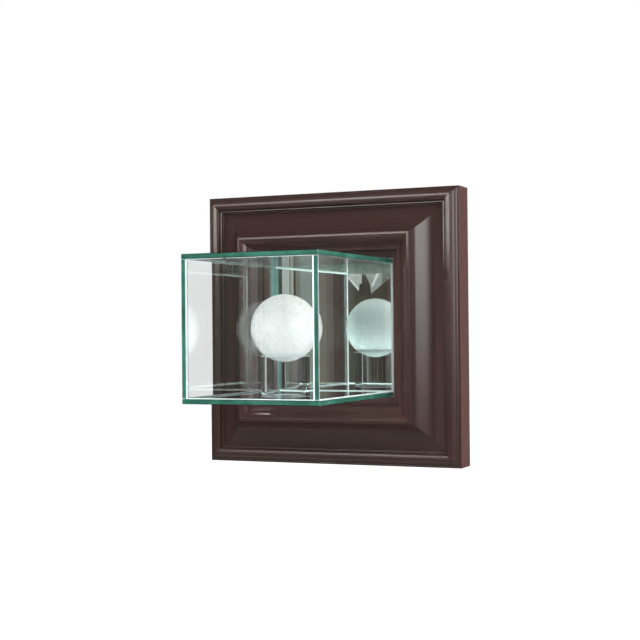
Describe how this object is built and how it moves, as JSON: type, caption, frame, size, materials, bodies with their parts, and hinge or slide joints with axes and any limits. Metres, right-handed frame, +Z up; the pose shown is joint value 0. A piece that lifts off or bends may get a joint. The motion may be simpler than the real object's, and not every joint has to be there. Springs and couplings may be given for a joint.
{
  "type": "golf ball display case",
  "caption": "Wall-hung display case: a square moulded wood frame, a glass box standing out of it, a mirrored door at the back and a golf ball on a clear ring stand.",
  "frame": {"origin": "middle of the frame's back, on the wall plane", "axes": "+X to the right as the case is seen, +Y into the wall and square to it, +Z up; the glass box stands out towards -Y"},
  "size_m": [0.184, 0.1424, 0.184],
  "materials": {
    "wood": "dark mahogany stain under satin lacquer",
    "glass": "clear float glass with ground and polished edges",
    "silicone": "clear set silicone",
    "mirror": "silvered float glass",
    "hardboard": "smooth brown hardboard",
    "brass": "lacquered brass",
    "steel": "zinc-plated steel",
    "nickel": "nickel plate",
    "bumper": "soft matt rubber",
    "acrylic": "clear cast acrylic with polished ends",
    "ball": "white dimpled cover under clear coat"
  },
  "bodies": {
    "frame": {"top_rail": "wood", "bottom_rail": "wood", "left_rail": "wood", "right_rail": "wood", "corner_nails": "steel", "front_pane": "glass", "top_pane": "glass", "bottom_pane": "glass", "left_pane": "glass", "right_pane": "glass", "sight_bond": "silicone", "hinge_frame_leaves": "brass", "hinge_pins": "brass", "frame_leaf_screws": "brass", "catch_magnets": "nickel", "hanger_strip": "steel", "hanger_nails": "steel", "wall_bumpers": "bumper"},
    "door": {"mirror_pane": "mirror", "backing_board": "hardboard", "hinge_door_leaves": "brass", "door_leaf_screws": "brass", "catch_discs": "nickel", "door_knob": "brass"},
    "stand": {"ball_stand": "acrylic"},
    "ball": {"golf_ball": "ball"}
  },
  "joints": [
    {"name": "door_hinge", "type": "hinge", "parent": "frame", "child": "door", "pos_m": [0.0539, -0.0067, 0], "axis": [0, 0, -1], "range_deg": [0, 100]},
    {"name": "stand_slide", "type": "slide", "parent": "frame", "child": "stand", "axis": [0, 1, 0], "range_m": [-0.025, 0.05]},
    {"name": "ball_lift", "type": "slide", "parent": "stand", "child": "ball", "axis": [0, 0, 1], "range_m": [0, 0.02]}
  ]
}
